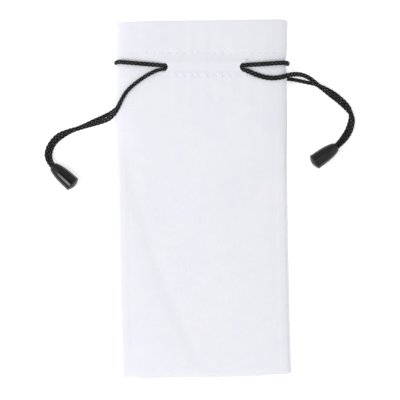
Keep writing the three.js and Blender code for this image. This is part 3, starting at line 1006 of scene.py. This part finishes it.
def settled_slack(seed, most):
    """Runs a sheet, cut a little too large for its seams, until its slack has found its folds.

    The trial is SIMULATION_SCALE times life size. It gives the height in millimetres to add at (u, y)."""
    columns, rows, frames = 44, 88, 26
    u, y = np.meshgrid(np.linspace(-1, 1, columns), np.linspace(BOTTOM, MOUTH, rows))
    rng = np.random.default_rng(seed)
    bumps = rng.normal(size=(rows, columns)) * 0.6
    start = np.stack([u * HALF_WIDTH, y, bumps], -1).reshape(-1, 3) * SIMULATION_SCALE
    sheet = new_object("slack_trial", start, grid_faces(rows, columns), None)
    held = sheet.vertex_groups.new(name="held")
    edge = (np.abs(u) > 0.97) | (y < BOTTOM + 3) | (y > FACING_END - 2)
    held.add([int(k) for k in np.flatnonzero(edge)], 1.0, "REPLACE")
    cloth = sheet.modifiers.new("cloth", "CLOTH")
    setting = cloth.settings
    setting.quality = 6
    setting.mass = 0.3
    setting.tension_stiffness = setting.compression_stiffness = 20
    setting.shear_stiffness = 10
    setting.bending_stiffness = 6
    setting.shrink_min = -0.02
    setting.vertex_group_mass = "held"
    setting.effector_weights.gravity = 0.02
    cloth.collision_settings.use_collision = False
    cloth.point_cache.frame_start, cloth.point_cache.frame_end = 1, frames
    scene = bpy.context.scene
    for frame_number in range(1, frames + 1):
        scene.frame_set(frame_number)
    settled = sheet.evaluated_get(bpy.context.evaluated_depsgraph_get()).data
    co = np.zeros(len(settled.vertices) * 3)
    settled.vertices.foreach_get("co", co)
    height = co.reshape(rows, columns, 3)[..., 2] / MM / SIMULATION_SCALE
    bpy.data.objects.remove(sheet)
    scene.frame_set(1)
    height = soften(height - soften(height, 9), 1.3)
    height = height / max(height.std(), 1e-6) * most / 2
    height = most * np.tanh(height / most)

    def slack(u, y):
        across = np.clip((u + 1) / 2 * (columns - 1), 0, columns - 1.001)
        along = np.clip((y - BOTTOM) / (MOUTH - BOTTOM) * (rows - 1), 0, rows - 1.001)
        i, j = across.astype(int), along.astype(int)
        s, t = across - i, along - j
        s, t = s * s * (3 - 2 * s), t * t * (3 - 2 * t)
        low = mix(height[j, i], height[j, i + 1], s)
        return mix(low, mix(height[j + 1, i], height[j + 1, i + 1], s), t)

    return slack


def soften(field, reach):
    """The field averaged over its neighbours, across and along."""
    size = int(3 * reach)
    window = np.exp(-((np.arange(-size, size + 1) / reach) ** 2) / 2)
    window = window / window.sum()
    for axis in (0, 1):
        padded = np.pad(field, [(size, size) if k == axis else (0, 0) for k in (0, 1)], mode="reflect")
        field = np.apply_along_axis(np.convolve, axis, padded, window, "valid")
    return field


def add_cloth(front, back, material):
    for sheet, face in ((front, "front"), (back, "back")):
        for right in (False, True):
            half, u = cloth_half(sheet, right, material)
            follow_cord(half)
            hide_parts(f"{face}_panel", f"{face}_hem_facing")


# ---------------------------------------------------------------- sewing
THREAD_RADIUS = 0.13


def thread_tube(path):
    angle = np.linspace(0, 2 * math.pi, 8, endpoint=False)
    return tube(path, np.cos(angle) * THREAD_RADIUS, np.sin(angle) * THREAD_RADIUS)


def sewn(name, stitches, material, nodes):
    """Joins separate stitches, each a path and its places across, into one piece."""
    verts, faces, places = [], [], []
    for path, u in stitches:
        points, skin = thread_tube(path)
        start = len(verts)
        verts.extend(points)
        faces.extend(tuple(v + start for v in face) for face in skin)
        places.extend(np.repeat(u, len(points) // len(path)))
    piece = new_object(name, verts, faces, material)
    follow_cord(piece)
    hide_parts(*nodes)


def hem_stitches(sheet, row, right):
    """The visible run of each stitch, from needle hole to needle hole, lying on its sheet."""
    j = int(np.argmin(np.abs(sheet.rows - row)))
    line = sheet.grid[j, TURNED:-TURNED]
    sign = 1 if right else -1
    stitches = []
    for n in range(11):
        along = np.linspace(0.2, STITCH_PITCH - 0.2, 11) + n * STITCH_PITCH
        u = sign * along / HALF_WIDTH
        if abs(u[-1]) > 0.985:
            continue
        path = np.stack([np.interp(u, sheet.u, line[:, k]) for k in range(3)], 1)
        ends = np.abs(np.linspace(-1, 1, 11))
        middle = CLOTH / 2 + THREAD_RADIUS * 0.1
        path[:, 2] += sheet.outward * (middle - 0.42 * smooth(0.72, 1, ends))
        stitches.append((path, u))
    return stitches


def side_stitches(side, sheet):
    """The closing seam of one side, hidden between the turned-in edges of the two panels."""
    box_low, box_high = (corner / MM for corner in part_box(f"{side}_side_seam_thread"))
    sign = 1 if side == "right" else -1
    across = (box_low.x + box_high.x) / 2
    stitches = []
    for y in np.arange(box_low.y + 1, min(box_high.y, 58) - 3, 2.8):
        span = np.linspace(y, y + 2.3, 6)
        height = seam_height(span)
        x = across + bow(span) + (half_width(span) - HALF_WIDTH) * sign
        stitches.append((np.stack([x, span, height], 1), np.full(6, float(sign))))
    return stitches


def add_sewing(front, back, thread):
    for sheet, face in ((front, "front"), (back, "back")):
        for place, row in (("upper", UPPER_ROW), ("lower", LOWER_ROW)):
            for right in (False, True):
                node = f"{face}_{place}_stitch_row"
                name = f"{node}_{'right' if right else 'left'}"
                sewn(name, hem_stitches(sheet, row, right), thread, [node])
    for side in ("left", "right"):
        node = f"{side}_side_seam_thread"
        sewn(f"{node}_stitches", side_stitches(side, front), thread, [node])
    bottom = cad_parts["bottom_seam_thread"]
    bottom.data.materials.clear()
    bottom.data.materials.append(thread)


# ---------------------------------------------------------------- room
def add_floor(material):
    bpy.ops.mesh.primitive_grid_add(x_subdivisions=4, y_subdivisions=4, size=6)
    floor = bpy.context.object
    floor.name = "floor"
    floor.data.materials.append(material)


def add_lights():
    """A white studio tent, dimmer overhead and at its sides, with a softbox and a small panel."""
    world = bpy.data.worlds.new("room")
    bpy.context.scene.world = world
    world.use_nodes = True
    tree = world.node_tree
    background = tree.nodes["Background"]
    place = tree.nodes.new("ShaderNodeTexCoord")
    axes = tree.nodes.new("ShaderNodeSeparateXYZ")
    tent = tree.nodes.new("ShaderNodeValToRGB")
    tent.color_ramp.interpolation = "EASE"
    for element, (height, grey) in zip(tent.color_ramp.elements, OVERHEAD_FALL):
        element.position = height
        element.color = (grey, grey, grey, 1)
    both = tree.nodes.new("ShaderNodeMath")
    both.operation = "MULTIPLY"
    for socket, (axis, *values) in zip(both.inputs, SIDE_FALLS):
        sideways = tree.nodes.new("ShaderNodeMath")
        sideways.operation = "ABSOLUTE"
        fall = tree.nodes.new("ShaderNodeMapRange")
        for name, value in zip(("From Min", "From Max", "To Min", "To Max"), values):
            fall.inputs[name].default_value = value
        tree.links.new(axes.outputs[axis], sideways.inputs[0])
        tree.links.new(sideways.outputs[0], fall.inputs["Value"])
        tree.links.new(fall.outputs[0], socket)
    tree.links.new(both.outputs[0], background.inputs["Strength"])
    tree.links.new(place.outputs["Generated"], axes.inputs[0])
    tree.links.new(axes.outputs["Z"], tent.inputs["Fac"])
    tree.links.new(tent.outputs["Color"], background.inputs["Color"])
    for name, location, size, power in LAMPS:
        data = bpy.data.lights.new(name, "AREA")
        data.shape = "RECTANGLE"
        data.size, data.size_y = size
        data.energy = power
        light = bpy.data.objects.new(name, data)
        light.location = location
        light.rotation_euler = Vector(location).to_track_quat("Z", "Y").to_euler()
        bpy.context.collection.objects.link(light)
    bpy.context.scene.view_settings.view_transform = "Standard"


# ---------------------------------------------------------------- the whole
make_camera()
front_slack = settled_slack(3, 0.34)
back_slack = settled_slack(8, 0.3)


def cloth_top(x, y):
    """Height of the front cloth's outer face, or NaN off the pouch."""
    y = y + (y - askew(x, y))
    u = (x - bow(y)) / half_width(y)
    inside = np.abs(u) < 0.97
    u = np.clip(u, -0.97, 0.97)
    _, z = front_surface(u, y, np.abs(u) * HALF_WIDTH > slit_place(u))
    z = z + front_slack(u, y) * side_fullness(u) * end_fullness(y) * hem_calm(y)
    return np.where(inside, z + CLOTH / 2, np.nan)


braid = braided_cord()
tails = add_tails(braid, cloth_top)
add_loops(braid)
ends = add_cord_ends(bell_plastic("bell_plastic", 0.17), bell_plastic("insert_plastic", 0.3), braid)
front = Sheet("front_panel_cloth", front_surface, 1, front_slack, ARCH)
back = Sheet("back_panel_cloth", back_surface, -1, back_slack, BACK_ARCH)
add_cloth(front, back, microfibre())
add_sewing(front, back, sewing_thread())
add_floor(pale_floor())
add_lights()
